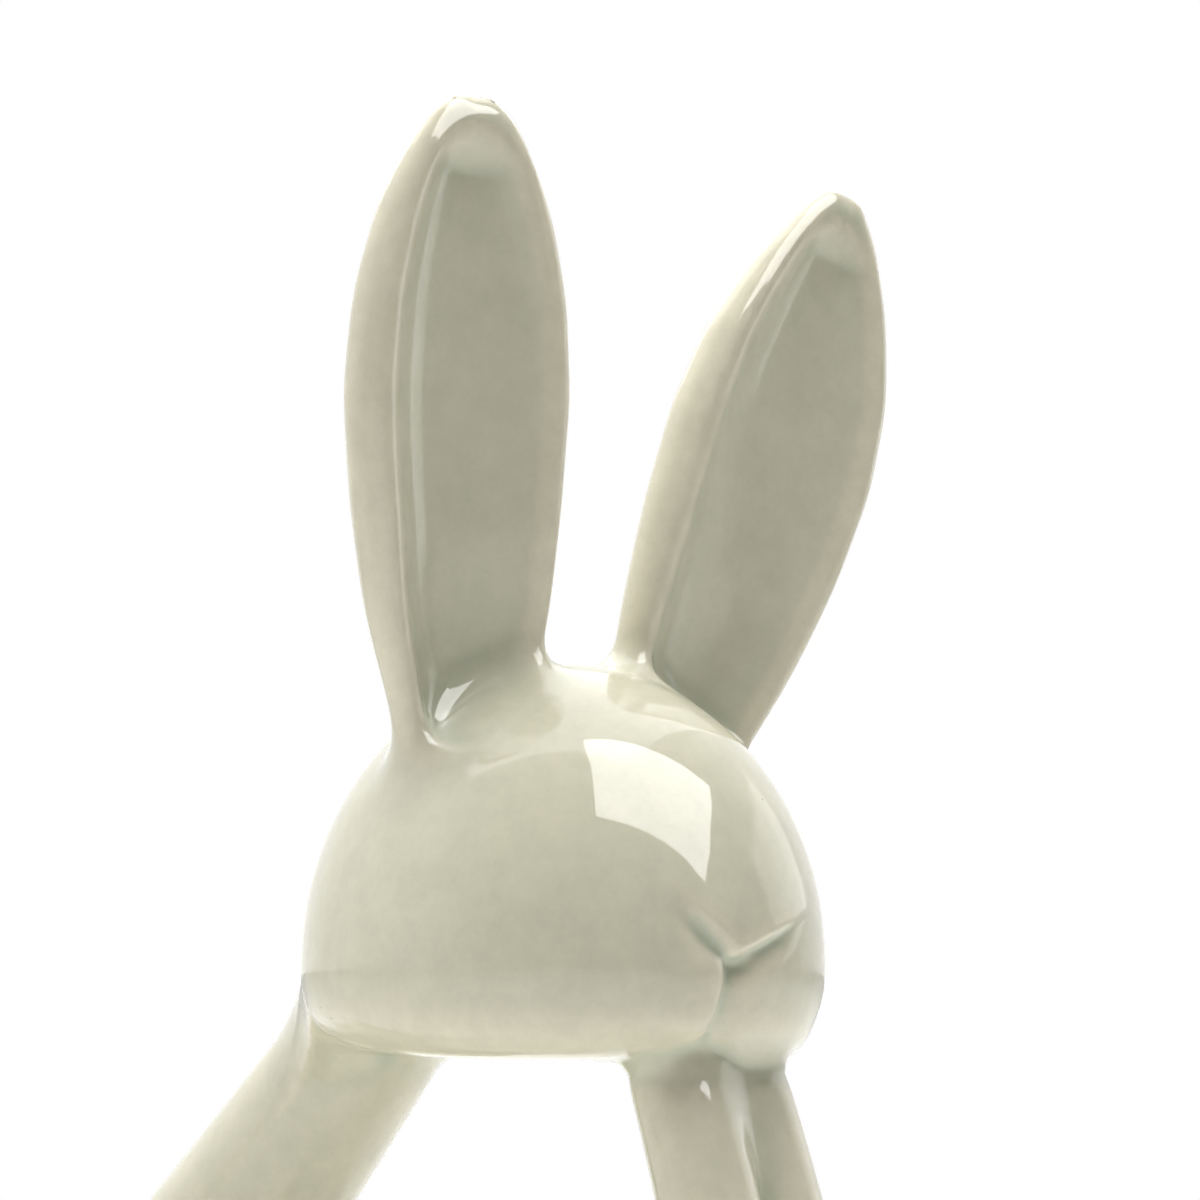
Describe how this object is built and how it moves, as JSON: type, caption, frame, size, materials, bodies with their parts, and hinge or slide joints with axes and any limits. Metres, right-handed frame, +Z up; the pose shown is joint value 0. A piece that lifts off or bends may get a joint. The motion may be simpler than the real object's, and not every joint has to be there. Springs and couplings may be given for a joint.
{
  "type": "ceramic rabbit figurine",
  "caption": "Glossy celadon-glazed ceramic rabbit, sitting, with a plain dome head, tall scooped ears, upright forelegs under the chin and a pear-shaped body on felt pads.",
  "frame": {"origin": "centre of the outer box's bottom face, on the floor under the felt pads", "axes": "+Z up, the rabbit faces -Y, its left side is +X"},
  "size_m": [0.108, 0.2138, 0.2242],
  "materials": {
    "glaze": "gloss",
    "slip": "matte",
    "felt": "matte"
  },
  "bodies": {
    "root": {"head": "glaze", "neck": "glaze", "body": "glaze", "ear_right": "glaze", "ear_left": "glaze", "foreleg_right": "glaze", "foreleg_left": "glaze", "haunch_right": "glaze", "haunch_left": "glaze", "hind_foot_right": "glaze", "hind_foot_left": "glaze", "tail": "glaze", "neck_slip": "slip", "body_slip": "slip", "ear_slip_right": "slip", "ear_slip_left": "slip", "foreleg_slip_right": "slip", "foreleg_slip_left": "slip", "foreleg_seam": "slip", "haunch_slip_right": "slip", "haunch_slip_left": "slip", "foot_slip_right": "slip", "foot_slip_left": "slip", "tail_slip": "slip", "felt_pads": "felt"}
  },
  "joints": []
}
